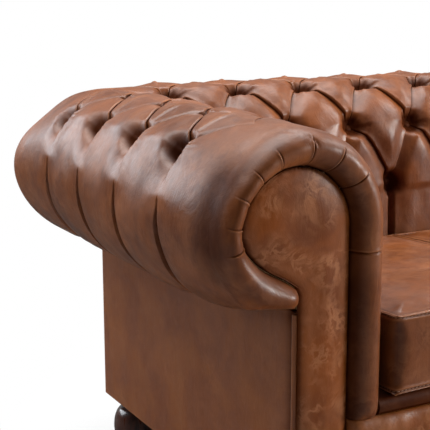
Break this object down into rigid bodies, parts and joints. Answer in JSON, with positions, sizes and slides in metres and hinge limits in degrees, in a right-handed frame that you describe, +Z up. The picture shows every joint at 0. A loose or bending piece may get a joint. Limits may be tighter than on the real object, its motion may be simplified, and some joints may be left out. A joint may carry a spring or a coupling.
{
  "type": "chesterfield sofa",
  "caption": "Deep-buttoned leather sofa with scrolled arms level with the rolled back, pleated fronts, loose box cushions and turned bun feet.",
  "frame": {"origin": "on the floor, under the middle of the sofa's overall box", "axes": "+X along the sofa's width, to the right seen from the front; -Y towards the front; +Z up"},
  "size_m": [2.0298, 0.9359, 0.7721],
  "materials": {
    "leather": "semi-gloss waxed pull-up leather, brown with a reddish tint, mottled, with fine grain",
    "panel_leather": "the same leather pulled flat over the outside panels, darker, with fine grain",
    "foam": "cream upholstery foam",
    "timber": "sawn beech, unfinished",
    "zip_tape": "dark brown woven zip tape",
    "brass": "dull brass zip slider",
    "black_cloth": "black non-woven cloth",
    "webbing": "natural woven webbing",
    "dark_wood": "turned hardwood, dark brown stain, gloss lacquer",
    "bolt_steel": "zinc-plated steel"
  },
  "bodies": {
    "frame": {"arm_cover_left": "leather", "arm_cover_right": "leather", "arm_facing_left": "leather", "arm_facing_right": "leather", "back_cover": "leather", "seat_deck": "leather", "front_border": "leather", "outside_arm_panel_left": "panel_leather", "outside_arm_panel_right": "panel_leather", "outside_back_panel": "panel_leather", "arm_foam_left": "foam", "arm_foam_right": "foam", "back_foam": "foam", "arm_front_former_left": "timber", "arm_front_former_right": "timber", "arm_rear_former_left": "timber", "arm_rear_former_right": "timber", "arm_top_rail_left": "timber", "arm_top_rail_right": "timber", "arm_outer_rail_left": "timber", "arm_outer_rail_right": "timber", "side_rail_left": "timber", "side_rail_right": "timber", "back_former_left": "timber", "back_former_right": "timber", "back_top_rail": "timber", "back_outer_rail": "timber", "back_tuck_rail": "timber", "front_rail": "timber", "rear_rail": "timber", "stretcher_left": "timber", "stretcher_right": "timber", "corner_block_front_left": "timber", "corner_block_front_right": "timber", "corner_block_rear_left": "timber", "corner_block_rear_right": "timber", "corner_post_left": "timber", "corner_post_right": "timber", "dust_cover": "black_cloth", "seat_webbing": "webbing", "foot_front_left": "dark_wood", "foot_rear_left": "dark_wood", "foot_front_right": "dark_wood", "foot_rear_right": "dark_wood", "foot_bolt_front_left": "bolt_steel", "foot_bolt_rear_left": "bolt_steel", "foot_bolt_front_right": "bolt_steel", "foot_bolt_rear_right": "bolt_steel"},
    "cushion_1": {"cushion_cover_1": "leather", "cushion_core_1": "foam", "cushion_zip_1": "zip_tape"},
    "slider_1": {"zip_slider_1": "brass"},
    "cushion_2": {"cushion_cover_2": "leather", "cushion_core_2": "foam", "cushion_zip_2": "zip_tape"},
    "slider_2": {"zip_slider_2": "brass"},
    "cushion_3": {"cushion_cover_3": "leather", "cushion_core_3": "foam", "cushion_zip_3": "zip_tape"},
    "slider_3": {"zip_slider_3": "brass"}
  },
  "joints": [
    {"name": "cushion_lift_1", "type": "slide", "parent": "frame", "child": "cushion_1", "axis": [0, 0, 1], "range_m": [0, 0.45]},
    {"name": "cushion_lift_2", "type": "slide", "parent": "frame", "child": "cushion_2", "axis": [0, 0, 1], "range_m": [0, 0.45]},
    {"name": "cushion_lift_3", "type": "slide", "parent": "frame", "child": "cushion_3", "axis": [0, 0, 1], "range_m": [0, 0.45]},
    {"name": "zip_slide_1", "type": "slide", "parent": "cushion_1", "child": "slider_1", "axis": [1, 0, 0], "range_m": [0, 0.36]},
    {"name": "zip_slide_2", "type": "slide", "parent": "cushion_2", "child": "slider_2", "axis": [1, 0, 0], "range_m": [0, 0.36]},
    {"name": "zip_slide_3", "type": "slide", "parent": "cushion_3", "child": "slider_3", "axis": [1, 0, 0], "range_m": [0, 0.36]}
  ]
}
